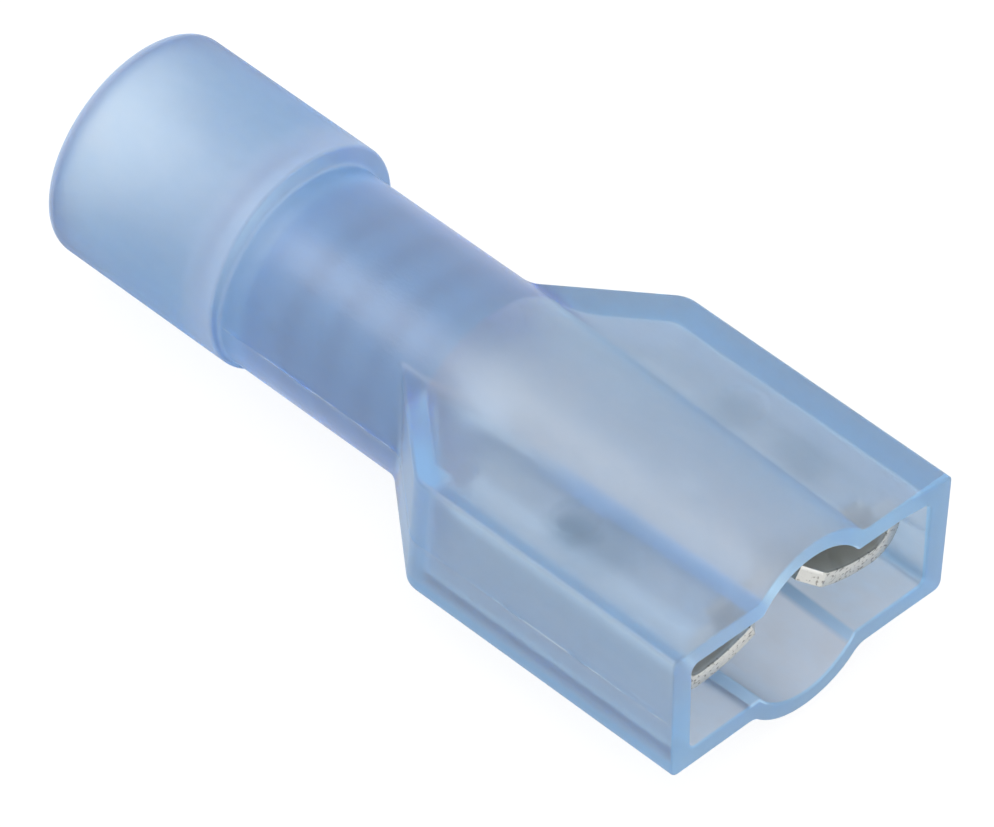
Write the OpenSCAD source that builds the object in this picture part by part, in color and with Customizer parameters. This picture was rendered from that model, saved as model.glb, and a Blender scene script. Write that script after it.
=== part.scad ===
// Fully insulated push-on receptacle for a flat tab: a one-piece nylon housing round one rolled contact.
// X runs from the wire entry to the mouth and Z is up. The origin is the centre of the wire entry.
// The contact lies with its flat base against the roof and its lips below, as it does in the housing.

/* [Tab and wire] */
// Width of the tab that the mouth takes
tab_w = 6.3; // [5.8:0.05:6.8]
// Side play of that tab between the curls
tab_play = 0.34; // [0.2:0.02:0.6]
// Bore of the crimp barrel, for the bare strands
barrel_bore = 2.6; // [2.2:0.05:2.9]
// Bore of the bell, for the insulated wire
entry_bore = 4.5; // [4:0.05:4.9]

/* [Contact] */
// Thickness of the sheet
sheet_t = 0.38; // [0.3:0.01:0.45]
// Height over the base and a curl
curl_h = 1.62; // [1.4:0.02:1.8]
// Radius of the sprung lip, across the tab
lip_bend_r = 4.4; // [3.6:0.1:8]
// Gap between the free edges of the two lips
lip_gap = 1.5; // [1:0.1:2.4]
// Cut across the front corner of each lip, which leads the tab in
lead_in = 0.42; // [0.2:0.02:0.7]
// Distance from the front of the curls back to the front edge of the base between them
base_set_back = 0.36; // [0.2:0.02:0.6]
// Distance from the mouth back to the front of the curls
front_recess = 0.8; // [0.3:0.05:1.5]
// Distance from the inner shoulder to the back of the curls
curl_back_gap = 0.4; // [0.2:0.05:1]
// Length of the trough that leads from the barrel into the base
trough_l = 3.1; // [2.4:0.1:4]
// Distance from the end of the barrel to the cavity
barrel_set_back = 0.4; // [0.2:0.05:1]
// Width of the butt seam along the barrel
seam_w = 0.08; // [0.04:0.01:0.2]
// Depth of the locking dimple in the base
dimple_depth = 0.22; // [0.1:0.02:0.3]
// Radius of the ball that makes the dimple
dimple_r = 1.1; // [0.8:0.05:1.5]
// Distance from the front of the curls back to the dimple
dimple_back = 3.4; // [2.5:0.1:4.5]
// Depth of the grip grooves inside the barrel
groove_depth = 0.07; // [0.03:0.01:0.15]
// Width of a grip groove
groove_w = 0.35; // [0.2:0.05:0.5]
// Number of grip grooves
groove_count = 3; // [2:1:4]

/* [Bell] */
// Outside diameter of the bell
bell_d = 6; // [5.8:0.05:6.6]
// Length of the bell
bell_l = 5.45; // [4.8:0.05:6.5]
// Height of the bell's axis over the neck's, which brings the undersides nearly level
bell_rise = 0.26; // [0:0.02:0.28]
// Depth of the bell's bore
entry_depth = 4.6; // [4:0.05:4.8]
// Rounding of the bell's entry edge
entry_edge_r = 0.22; // [0.1:0.02:0.3]
// Rounding of the bell's step edge
step_edge_r = 0.08; // [0.04:0.01:0.15]

/* [Neck] */
// Outside diameter of the neck
neck_d = 5.4; // [5:0.05:5.6]
// Length of the neck from the step to the root of the shoulders
neck_l = 5.84; // [5:0.05:7]
// Distance from the bell's step to the face that stops the barrel
stop_set = 0.42; // [0.3:0.02:0.6]

/* [Box] */
// Straight length of the box
box_l = 8.22; // [7.5:0.05:10]
// Angle of the shoulders to the axis
shoulder_angle = 40.7; // [32:0.5:50]
// Thickness of the side walls
side_wall = 0.62; // [0.45:0.01:0.8]
// Thickness of the roof and the floor
flat_wall = 0.5; // [0.35:0.01:0.65]
// Room under the curls, in which the lips spring
room_below = 0.8; // [0.6:0.05:1.2]
// Rounding of the long edges
box_edge_r = 0.25; // [0.1:0.01:0.4]
// Rounding of the shoulder corners
shoulder_r = 0.7; // [0.3:0.05:1.2]
// Rounding of the long corners inside
cavity_edge_r = 0.2; // [0.1:0.01:0.35]

/* [Ridge] */
// Diameter of the round ridge at the mouth
ridge_mouth_d = 4.88; // [4.6:0.02:5.2]
// Wall of the ridge
ridge_wall = 0.45; // [0.35:0.01:0.55]

/* [Ejector marks] */
// Diameter of the two ejector marks on the roof
mark_d = 1.1; // [0.8:0.05:1.4]
// Depth of an ejector mark
mark_depth = 0.04; // [0.02:0.01:0.08]
// Distance of an ejector mark from the middle
mark_y = 2.75; // [2.6:0.05:3.2]
// Distance of the ejector marks from the mouth
mark_back = 4.9; // [3:0.1:6]

/* [Clearances] */
// Gap between a curl and the side wall
curl_gap = 0.18; // [0.08:0.02:0.4]
// Gap between the base and the roof
seat_gap = 0.03; // [0.02:0.01:0.1]
// Gap round the barrel in the neck
barrel_gap = 0.04; // [0.02:0.01:0.08]
// Extra width of the funnel's throat over the barrel's bore
throat_play = 0.1; // [0.05:0.01:0.2]

/* [Hidden] */
$fn = 64;
// Overshoot of every cut, so that no two faces coincide
cut = 0.5;
nylon_blue = [0.61, 0.72, 0.86];
tin = [0.78, 0.79, 0.78];

// Contact sizes
contact_w = tab_w + tab_play + 2 * sheet_t;
curl_r = curl_h / 2;
curl_y = contact_w / 2 - curl_r;
barrel_r = barrel_bore / 2 + sheet_t;

// Heights over the axis of the neck
cavity_h = curl_h + seat_gap + room_below;
base_top = cavity_h / 2 - seat_gap;
base_under = base_top - sheet_t;
curl_bottom = base_top - curl_h;

// Housing sizes
cavity_w = contact_w + 2 * curl_gap;
box_w = cavity_w + 2 * side_wall;
box_h = cavity_h + 2 * flat_wall;
bell_r = bell_d / 2;
neck_r = neck_d / 2;
ridge_mouth_r = ridge_mouth_d / 2;
neck_bore_r = barrel_r + barrel_gap;
throat_r = (barrel_bore + throat_play) / 2;
funnel_r = entry_bore / 2 - bell_rise;

// Stations along X
x_stop = bell_l + stop_set;
x_root = bell_l + neck_l;
x_corner = x_root + (box_w / 2 - neck_r) / tan(shoulder_angle);
x_mouth = x_corner + box_l;
x_inner_corner = x_corner + side_wall * tan(shoulder_angle / 2);
x_barrel_front = x_root - barrel_set_back;
x_curl_back = x_inner_corner + curl_back_gap;
x_curl_front = x_mouth - front_recess;
x_trough_end = x_barrel_front + trough_l;

// Turns a profile of radius and length about the X axis.
module turned() {
  rotate([0, 90, 0])
    rotate_extrude()
      children();
}

// Round bar or cone along X between two stations.
module bar(x0, x1, r0, r1) {
  translate([x0, 0, 0])
    rotate([0, 90, 0])
      cylinder(h = x1 - x0, r1 = r0, r2 = r1);
}

// Extrudes a section drawn in Y and Z from one station to the next.
module along(x0, x1) {
  translate([x0, 0, 0])
    rotate([90, 0, 90])
      linear_extrude(x1 - x0)
        children();
}

// Rectangle with four round corners.
module round_rect(w, h, r) {
  square([w - 2 * r, h], center = true);
  square([w, h - 2 * r], center = true);
  for (y = [-1, 1], z = [-1, 1])
    translate([y * (w / 2 - r), z * (h / 2 - r)])
      circle(r);
}

// Plan of a box with sloped shoulders whose corners have radius r.
module shouldered_plan(half_w, x_shoulder, x_end, r) {
  slope = [cos(shoulder_angle), sin(shoulder_angle)];
  tangent = r * tan(shoulder_angle / 2);
  tip = [x_shoulder - half_w / tan(shoulder_angle), 0];
  for (side = [0, 1])
    mirror([0, side, 0]) {
      polygon([
        tip,
        [x_shoulder, half_w] - tangent * slope,
        [x_shoulder + tangent, half_w],
        [x_end, half_w],
        [x_end, 0]
      ]);
      translate([x_shoulder + tangent, half_w - r])
        circle(r);
    }
}

// Flat box between roof and floor, with its shoulders.
module shouldered_box(w, h, edge_r, x_shoulder, x_end, plan_r) {
  intersection() {
    translate([0, 0, -h / 2])
      linear_extrude(h)
        shouldered_plan(w / 2, x_shoulder, x_end, plan_r);
    along(0, x_end)
      round_rect(w, h, edge_r);
  }
}

// Bell wall, drawn as radius against length.
module bell_profile() {
  polygon([
    [0, 0],
    [bell_r - entry_edge_r, 0],
    [bell_r, entry_edge_r],
    [bell_r, bell_l - step_edge_r],
    [bell_r - step_edge_r, bell_l],
    [0, bell_l]
  ]);
  translate([bell_r - entry_edge_r, entry_edge_r])
    circle(entry_edge_r);
  translate([bell_r - step_edge_r, bell_l - step_edge_r])
    circle(step_edge_r);
}

// Space inside the box: the flat cavity and the round channel that lets the barrel through.
module cavity() {
  intersection() {
    shouldered_box(cavity_w, cavity_h, cavity_edge_r, x_inner_corner, x_mouth + cut, cavity_edge_r);
    translate([x_root, -box_w, -box_h])
      cube([x_mouth, 2 * box_w, 2 * box_h]);
  }
  bar(x_root, x_mouth, neck_r - ridge_wall, ridge_mouth_r - ridge_wall);
  bar(x_mouth, x_mouth + cut, ridge_mouth_r - ridge_wall, ridge_mouth_r - ridge_wall);
}

// Shallow round marks that the ejector pins leave on the roof.
module ejector_marks() {
  for (y = [-mark_y, mark_y])
    translate([x_mouth - mark_back, y, box_h / 2 - mark_depth])
      cylinder(d = mark_d, h = cut);
}

module nylon_housing() {
  color(nylon_blue)
    difference() {
      union() {
        turned() bell_profile();
        translate([0, 0, -bell_rise]) {
          bar(entry_depth, x_root, neck_r, neck_r);
          bar(x_root, x_mouth, neck_r, ridge_mouth_r);
          shouldered_box(box_w, box_h, box_edge_r, x_corner, x_mouth, shoulder_r);
        }
      }
      bar(-cut, entry_depth, entry_bore / 2, entry_bore / 2);
      translate([0, 0, -bell_rise]) {
        bar(entry_depth - cut, entry_depth, funnel_r, funnel_r);
        bar(entry_depth, x_stop, funnel_r, throat_r);
        bar(x_stop, x_root + cut, neck_bore_r, neck_bore_r);
        cavity();
        ejector_marks();
      }
    }
}

// One side of the front section: half of the base, a curl and a lip that rises towards the base.
module half_section() {
  translate([0, base_under])
    square([curl_y, sheet_t]);
  translate([curl_y, base_top - curl_r])
    intersection() {
      difference() {
        circle(curl_r);
        circle(curl_r - sheet_t);
      }
      translate([0, -curl_r])
        square([curl_r, 2 * curl_r]);
    }
  intersection() {
    translate([curl_y, curl_bottom + lip_bend_r])
      difference() {
        circle(lip_bend_r);
        circle(lip_bend_r - sheet_t);
      }
    translate([lip_gap / 2, curl_bottom])
      square([curl_y - lip_gap / 2, base_under - curl_bottom]);
  }
}

// Corner cuts that lead the tab in between base and lips.
module lead_in_cuts() {
  for (side = [0, 1])
    mirror([0, side, 0])
      translate([x_curl_front, lip_gap / 2, 0])
        rotate([0, 0, 45])
          cube([2 * lead_in / sqrt(2), 2 * lead_in / sqrt(2), 2 * (base_under - sheet_t)], center = true);
}

// Notch that sets the front edge of the base back between the curls.
module base_notch() {
  half_w = curl_y - sheet_t;
  translate([x_curl_front - base_set_back, -half_w, base_under - sheet_t / 2])
    cube([base_set_back + cut, 2 * half_w, 2 * sheet_t]);
}

// Base between the barrel and the curls, which widens as the sheet opens out.
module base_root() {
  root_x = x_barrel_front + trough_l / 3;
  translate([0, 0, base_under])
    linear_extrude(sheet_t)
      polygon([
        [root_x, -barrel_r],
        [x_curl_back, -curl_y],
        [x_curl_back + sheet_t, -curl_y],
        [x_curl_back + sheet_t, curl_y],
        [x_curl_back, curl_y],
        [root_x, barrel_r]
      ]);
}

// Locking dimple: the ball that raises it under the base, or the dent that it leaves above.
module dimple_ball(r) {
  translate([x_curl_front - dimple_back, 0, base_under - dimple_depth + dimple_r])
    sphere(r);
}

// Crimp barrel and the trough into which it opens, cut off on a slope in front.
module barrel() {
  x_rear = x_stop + seat_gap;
  cut_x = x_barrel_front - sheet_t;
  difference() {
    union() {
      bar(x_rear, x_barrel_front, barrel_r, barrel_r);
      bar(x_barrel_front, x_trough_end, barrel_r, base_top);
    }
    bar(x_rear - cut, x_barrel_front, barrel_bore / 2, barrel_bore / 2);
    bar(x_barrel_front, x_trough_end, barrel_bore / 2, base_under);
    groove_pitch = (x_barrel_front - x_rear) / (groove_count + 1);
    for (i = [1 : groove_count])
      translate([x_rear + i * groove_pitch - groove_w / 2, 0, 0])
        bar(0, groove_w, barrel_bore / 2 + groove_depth, barrel_bore / 2 + groove_depth);
    translate([x_rear - cut, -seam_w / 2, -barrel_r - cut])
      cube([x_barrel_front, seam_w, barrel_r + cut]);
    rotate([90, 0, 0])
      linear_extrude(4 * barrel_r, center = true)
        polygon([
          [cut_x, -2 * barrel_r],
          [cut_x, -barrel_r],
          [x_barrel_front + trough_l / 2, base_under],
          [x_trough_end + cut, base_under],
          [x_trough_end + cut, -2 * barrel_r]
        ]);
  }
}

module receptacle_contact() {
  color(tin)
    translate([0, 0, -bell_rise]) {
      difference() {
        union() {
          along(x_curl_back, x_curl_front) {
            half_section();
            mirror([1, 0]) half_section();
          }
          base_root();
          intersection() {
            dimple_ball(dimple_r);
            translate([x_curl_back, -curl_y, base_under - dimple_depth - cut])
              cube([x_mouth, 2 * curl_y, sheet_t + dimple_depth + cut]);
          }
        }
        intersection() {
          bar(x_barrel_front, x_trough_end, barrel_bore / 2, base_under);
          translate([x_barrel_front, -barrel_r, 0])
            cube([trough_l, 2 * barrel_r, 2 * barrel_r]);
        }
        dimple_ball(dimple_r - sheet_t);
        base_notch();
        lead_in_cuts();
      }
      barrel();
    }
}

nylon_housing();
receptacle_contact();
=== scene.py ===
"""Looks of an insulated push-on receptacle: a translucent nylon housing round a rolled, tin-plated contact.

Pieces are modelled in millimetres about the axis of the neck and brought to metres at the end, in the row's frame.
"""

import logging
import math
from dataclasses import dataclass, field
from enum import Enum
from functools import reduce
from typing import Callable, Iterable, Sequence

import bmesh
import bpy
import numpy as np
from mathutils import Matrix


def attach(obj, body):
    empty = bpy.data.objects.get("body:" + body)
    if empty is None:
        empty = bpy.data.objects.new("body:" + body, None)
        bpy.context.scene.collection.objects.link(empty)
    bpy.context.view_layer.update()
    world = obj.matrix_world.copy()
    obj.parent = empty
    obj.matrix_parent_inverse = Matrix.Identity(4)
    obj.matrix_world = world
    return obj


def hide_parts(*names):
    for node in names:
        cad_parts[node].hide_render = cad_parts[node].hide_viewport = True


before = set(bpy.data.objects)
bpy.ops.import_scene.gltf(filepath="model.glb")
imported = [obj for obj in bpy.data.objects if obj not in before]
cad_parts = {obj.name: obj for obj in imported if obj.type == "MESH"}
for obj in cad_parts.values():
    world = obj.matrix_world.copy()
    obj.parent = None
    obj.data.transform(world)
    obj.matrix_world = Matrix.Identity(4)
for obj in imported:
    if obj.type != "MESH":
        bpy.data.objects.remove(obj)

LOG = logging.getLogger("receptacle")
MM = 0.001
NEAR = 1e-4
AXIS_HEIGHT = -0.26
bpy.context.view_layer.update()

Pair = tuple[float, float]
Triple = tuple[float, float, float]
Ramp = tuple[float, float, float, float]
Socket = bpy.types.NodeSocket


class Side(Enum):
    """The two long sides of the part, by the sign of Y."""

    LEFT = -1
    RIGHT = 1


def smooth_step(t: np.ndarray | float) -> np.ndarray:
    """Returns the smooth ramp from 0 to 1 of t."""
    t = np.clip(t, 0.0, 1.0)
    return t * t * (3.0 - 2.0 * t)


def quarter_turn(steps: int) -> np.ndarray:
    """Returns the angles of a quarter turn, both ends included."""
    return np.linspace(0.0, math.pi / 2, steps + 1)


class Bench:
    """Hand tools of edit mode, each one an operator on what is selected."""

    @staticmethod
    def clear() -> None:
        """Leaves edit mode and selects nothing."""
        if bpy.context.object and bpy.context.object.mode != "OBJECT":
            bpy.ops.object.mode_set(mode="OBJECT")
        bpy.ops.object.select_all(action="DESELECT")

    @staticmethod
    def mesh() -> bmesh.types.BMesh:
        """Returns the mesh in edit mode, with its tables fresh."""
        bm = bmesh.from_edit_mesh(bpy.context.edit_object.data)
        bm.verts.ensure_lookup_table()
        bm.edges.ensure_lookup_table()
        return bm

    @staticmethod
    def update() -> None:
        """Hands the changed mesh back to edit mode."""
        bmesh.update_edit_mesh(bpy.context.edit_object.data)

    @staticmethod
    def pick(test: Callable, kind: str = "EDGE") -> int:
        """Selects the edges, faces or vertices for which the test holds.

        Args:
            test: takes an edge, face or vertex and says whether it is wanted.
            kind: VERT, EDGE or FACE.

        Returns:
            How many were selected.
        """
        bpy.ops.mesh.select_mode(type=kind)
        bpy.ops.mesh.select_all(action="DESELECT")
        bm = Bench.mesh()
        table = {"VERT": bm.verts, "EDGE": bm.edges, "FACE": bm.faces}[kind]
        wanted = [item for item in table if test(item)]
        for item in wanted:
            item.select_set(True)
        Bench.update()
        return len(wanted)

    @staticmethod
    def modify(piece: bpy.types.Object, kind: str, **settings: object) -> None:
        """Adds a modifier with the given settings and applies it."""
        modifier = piece.modifiers.new(kind.title(), kind)
        for name, value in settings.items():
            setattr(modifier, name, value)
        bpy.ops.object.modifier_apply(modifier=modifier.name)

    @staticmethod
    def to_row(piece: bpy.types.Object) -> None:
        """Brings a piece from millimetres about the neck's axis to metres in the row's frame."""
        piece.location = (0.0, 0.0, AXIS_HEIGHT * MM)
        piece.scale = (MM, MM, MM)
        bpy.ops.object.transform_apply(location=True, rotation=True, scale=True)


@dataclass(frozen=True)
class Skin:
    """One skin of the moulding, inside or outside, as sections square to the axis.

    A section is a round part about the axis, joined by a fillet to a flat box that widens over its shoulders.
    """

    half_height: float
    half_width: float
    x_root: float
    x_corner: float
    x_mouth: float
    corner_r: float
    root_r: float
    mouth_r: float
    top_edge_r: float
    bottom_edge_r: float
    foot_r: Triple
    slope: float
    parting: float = -0.16

    CORNER_SHARES = (0.0, 0.14, 0.27, 0.38, 0.48, 0.56, 0.62, 0.68, 0.73, 0.78, 0.83, 0.89, 0.95)
    COUNTS = {"side": 7, "roof": 24, "foot": 9, "ridge": 12}
    FLASH_W = 0.035
    FOOT_STATION = 1.6
    LEAST_WIDTH = 1.28
    CORNER_SPREAD = math.radians(4.8) / 1.725
    CORNER_REACH = (3.3, 1.5)
    FOOT_REACH = (0.14, 0.11)
    LEAST_KNOT_GAPS = (0.02, 0.05)
    EVEN_KNOTS = (0.36, 0.5, 0.66, 0.9)
    BLEND_BACK = 3.2
    BLEND_L = 2.0
    SEARCH = (0.2, 7.0)
    HALVINGS = 44

    def width_at(self, x: float) -> float:
        """Returns half the width of the flat box at x."""
        tangent = self.corner_r * math.tan(math.atan(self.slope) / 2)
        centre = self.x_corner + tangent
        if x >= centre:
            return self.half_width
        if x >= centre - self.corner_r * math.sin(math.atan(self.slope)):
            return self.half_width - self.corner_r + math.sqrt(self.corner_r**2 - (x - centre) ** 2)
        return self.half_width - (self.x_corner - x) * self.slope

    def round_at(self, x: float) -> float:
        """Returns the radius of the round part at x."""
        share = min(max((x - self.x_root) / (self.x_mouth - self.x_root), 0.0), 1.0)
        return self.root_r + (self.mouth_r - self.root_r) * share

    def foot_at(self, x: float) -> float:
        """Returns the radius of the fillet between the round part and the flats at x."""
        stations = (self.x_root, self.x_root + self.FOOT_STATION, self.x_mouth)
        return float(np.interp(x, stations, self.foot_r))

    def distance(self, x: float, y: np.ndarray, z: np.ndarray) -> np.ndarray:
        """Returns the signed distance of points of one section from its outline, negative inside."""
        rounded = np.hypot(y, z) - self.round_at(x)
        width = self.width_at(x)
        if width < 0.5 * self.half_height:
            return rounded
        edge = np.where(z > 0, self.top_edge_r, self.bottom_edge_r)
        past_y = np.abs(y) - (width - edge)
        past_z = np.abs(z) - (self.half_height - edge)
        outside = np.hypot(np.maximum(past_y, 0), np.maximum(past_z, 0))
        flat = outside + np.minimum(np.maximum(past_y, past_z), 0) - edge
        foot = self.foot_at(x)
        near = np.hypot(np.maximum(foot - rounded, 0), np.maximum(foot - flat, 0))
        return np.maximum(foot, np.minimum(rounded, flat)) - near

    def _quarter(self, x: float, start: float) -> np.ndarray:
        """Returns the angles of the columns from the side, past start, up to the crown.

        They lie evenly on the neck, and on the box close together at its edge and at the foot of the ridge.
        """
        width = max(self.width_at(x), self.LEAST_WIDTH * self.half_height)
        corner = math.atan2(self.half_height, width)
        foot = math.asin(min(self.half_height / self.round_at(x), 1.0))
        spread = self.CORNER_SPREAD * self.half_height / math.hypot(width, self.half_height)
        flat = [corner - self.CORNER_REACH[0] * spread, corner + self.CORNER_REACH[1] * spread,
                foot - self.FOOT_REACH[0], foot + self.FOOT_REACH[1]]
        share = float(smooth_step((x - self.x_root + self.BLEND_BACK) / self.BLEND_L))
        knots = [a + (b - a) * share for a, b in zip(self.EVEN_KNOTS, flat)]
        knots[2] = max(knots[2], knots[1] + self.LEAST_KNOT_GAPS[0])
        knots[3] = max(knots[3], knots[2] + self.LEAST_KNOT_GAPS[1])
        roof = np.linspace(1 / math.tan(knots[1]), 1 / math.tan(knots[2]), self.COUNTS["roof"], endpoint=False)
        return np.concatenate([
            np.linspace(start, knots[0], self.COUNTS["side"] + 1)[1:-1],
            knots[0] + (knots[1] - knots[0]) * np.array(self.CORNER_SHARES),
            np.arctan2(1.0, roof),
            np.linspace(knots[2], knots[3], self.COUNTS["foot"], endpoint=False),
            np.linspace(knots[3], math.pi / 2, self.COUNTS["ridge"] + 1),
        ])

    def parting_column(self) -> int:
        """Returns the number of the column on the parting line of the right side."""
        return len(self._quarter(self.x_mouth, self.FLASH_W)) + 1

    def columns(self, x: float) -> np.ndarray:
        """Returns the angles of all columns round the axis at x, from the bottom crown over the right side."""
        reach = max(self.width_at(x), self.round_at(x))
        line = math.atan2(self.parting, reach)
        half_flash = self.FLASH_W / reach
        lower = self._quarter(x, half_flash - line)
        upper = self._quarter(x, half_flash + line)
        right = np.concatenate([-lower[::-1], [line - half_flash, line, line + half_flash], upper])
        return np.concatenate([right, math.pi - right[-2:0:-1]])

    def ring(self, x: float, grow: float = 0.0) -> np.ndarray:
        """Returns the points of one section as X, Y and Z.

        Args:
            x: station of the section.
            grow: distance of the ring outside the section's outline, negative inside it.
        """
        angles = self.columns(x)
        near, far = (np.full(len(angles), radius) for radius in self.SEARCH)
        for _ in range(self.HALVINGS):
            middle = (near + far) / 2
            inside = self.distance(x, middle * np.cos(angles), middle * np.sin(angles)) < grow
            near, far = np.where(inside, middle, near), np.where(inside, far, middle)
        return np.column_stack([np.full(len(angles), x), near * np.cos(angles), near * np.sin(angles)])

    def circle(self, x: float, radius: float | np.ndarray, rise: float = 0.0) -> np.ndarray:
        """Returns the points of a circle on this skin's columns, whose centre lies rise above the axis."""
        angles = self.columns(x)
        reach = rise * np.sin(angles) + np.sqrt(np.square(radius) - np.square(rise * np.cos(angles)))
        return np.column_stack([np.full(len(angles), x), reach * np.cos(angles), reach * np.sin(angles)])


@dataclass
class NylonHousing:
    """The moulded housing: bell, neck and flat box in one wall, with the spaces inside."""

    bell_r: float = 3.0
    bell_l: float = 5.45
    bell_rise: float = -AXIS_HEIGHT
    bell_bore_r: float = 2.25
    entry_depth: float = 4.6
    entry_edge_r: float = 0.22
    entry_inner_r: float = 0.14
    step_edge_r: float = 0.09
    neck_r: float = 2.7
    neck_bore_r: float = 1.66
    x_stop: float = 5.67
    throat_r: float = 1.35
    funnel_r: float = 1.96
    bore_end_l: float = 0.6
    x_root: float = 11.29
    x_corner: float = 13.383
    x_inner_corner: float = 13.613
    x_mouth: float = 21.603
    rim_r: float = 0.06
    lead_in_r: float = 0.07
    mouth_rake: float = 0.2
    mouth_yaw: float = 0.06
    rake_l: float = 1.2
    rake_spare: float = 0.6
    spare_y: float = 2.8
    spare_w: float = 1.6
    bore_edge_r: float = 0.06
    flash_h: float = 0.022
    flash_waves: Pair = (2.3, 5.9)
    flash_phases: Pair = (0.0, 1.9)
    flash_least: float = 0.45
    mark_r: float = 0.55
    mark_depth: float = 0.04
    mark_edge: float = 0.08
    mark_back: float = 4.9
    mark_y: float = 2.75
    slope: float = math.tan(math.radians(40.7))
    outer: Skin = field(init=False)
    inner: Skin = field(init=False)

    def __post_init__(self) -> None:
        """Makes the outer and the inner skin of the box from the sizes."""
        self.outer = Skin(
            half_height=1.725, half_width=4.5, x_root=self.x_root, x_corner=self.x_corner, x_mouth=self.x_mouth,
            corner_r=0.7, root_r=self.neck_r, mouth_r=2.44, top_edge_r=0.12, bottom_edge_r=0.24,
            foot_r=(0.1, 0.35, 0.1), slope=self.slope)
        self.inner = Skin(
            half_height=1.225, half_width=3.88, x_root=self.x_root, x_corner=self.x_inner_corner,
            x_mouth=self.x_mouth, corner_r=0.2, root_r=2.25, mouth_r=1.99, top_edge_r=0.2, bottom_edge_r=0.2,
            foot_r=(0.03, 0.04, 0.04), slope=self.slope)

    @property
    def lean(self) -> float:
        """Returns how far the mouth leans back for each millimetre of height."""
        return self.mouth_rake / (2 * self.outer.half_height)

    @property
    def foot_z(self) -> float:
        """Returns the height at which the mouth starts to lean back."""
        return -(self.outer.half_height + self.outer.mouth_r) / 2

    def _bell_rings(self) -> Iterable[np.ndarray]:
        """Yields the rings of the bell's outside, from its entry edge to the foot of its step."""
        skin, edge = self.outer, self.entry_edge_r
        for turn in quarter_turn(7):
            radius = self.bell_r - edge + edge * math.sin(turn)
            yield skin.circle(edge * (1 - math.cos(turn)), radius, self.bell_rise)
        for x in np.linspace(edge, self.bell_l - self.step_edge_r, 12)[1:-1]:
            yield skin.circle(x, self.bell_r, self.bell_rise)
        wall = skin.circle(self.bell_l, self.bell_r, self.bell_rise)
        neck = skin.circle(self.bell_l, self.neck_r)
        reach, foot = np.hypot(wall[:, 1], wall[:, 2]), self.neck_r
        edge_r = np.minimum(self.step_edge_r, 0.45 * (reach - foot))
        outward = neck[:, 1:] / foot
        for turn in quarter_turn(5):
            ring = wall.copy()
            ring[:, 0] = self.bell_l - edge_r * (1 - math.sin(turn))
            ring[:, 1:] = outward * (reach - edge_r * (1 - math.cos(turn)))[:, None]
            yield ring
        for share in (0.25, 0.5, 0.75):
            ring = wall.copy()
            ring[:, 1:] = outward * ((reach - edge_r) * (1 - share) + (foot + edge_r) * share)[:, None]
            yield ring
        for turn in quarter_turn(4):
            ring = wall.copy()
            ring[:, 0] = self.bell_l + edge_r * (1 - math.cos(turn))
            ring[:, 1:] = outward * (foot + edge_r * (1 - math.sin(turn)))[:, None]
            yield ring

    def _box_rings(self) -> Iterable[np.ndarray]:
        """Yields the rings of the neck and the box outside, up to the front of the mouth."""
        mark_x = self.x_mouth - self.mark_back
        stations = [
            np.linspace(self.bell_l + 0.25, self.x_root - 1.1, 13)[:-1],
            np.arange(self.x_root - 1.1, self.x_root + 0.35, 0.045),
            np.linspace(self.x_root + 0.4, self.x_corner - 0.35, 11)[:-1],
            np.linspace(self.x_corner - 0.35, self.x_corner + 0.4, 12),
            np.linspace(self.x_corner + 0.6, mark_x - 0.75, 8)[:-1],
            np.linspace(mark_x - 0.75, mark_x + 0.75, 19),
            np.linspace(mark_x + 1.0, self.x_mouth - self.rim_r, 15)[:-1],
        ]
        for x in np.concatenate(stations):
            yield self.outer.ring(float(x))
        for turn in quarter_turn(4):
            front = self.x_mouth - self.rim_r * (1 - math.sin(turn))
            yield self.outer.ring(front, -self.rim_r * (1 - math.cos(turn)))

    def _cavity_rings(self) -> Iterable[np.ndarray]:
        """Yields the rings of the space in the box, from the mouth's round lead-in to its end wall."""
        for turn in quarter_turn(9):
            x = self.x_mouth - self.lead_in_r * (1 - math.cos(turn))
            yield self.inner.ring(x, self.lead_in_r * (1 - math.sin(turn)))
        stations = [
            np.linspace(self.x_mouth - self.lead_in_r, self.x_inner_corner + 0.4, 22)[1:],
            np.linspace(self.x_inner_corner + 0.4, self.x_inner_corner - 0.3, 10)[1:],
            np.linspace(self.x_inner_corner - 0.3, self.x_root, 24)[1:],
        ]
        for x in np.concatenate(stations):
            yield self.inner.ring(float(x))

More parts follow.
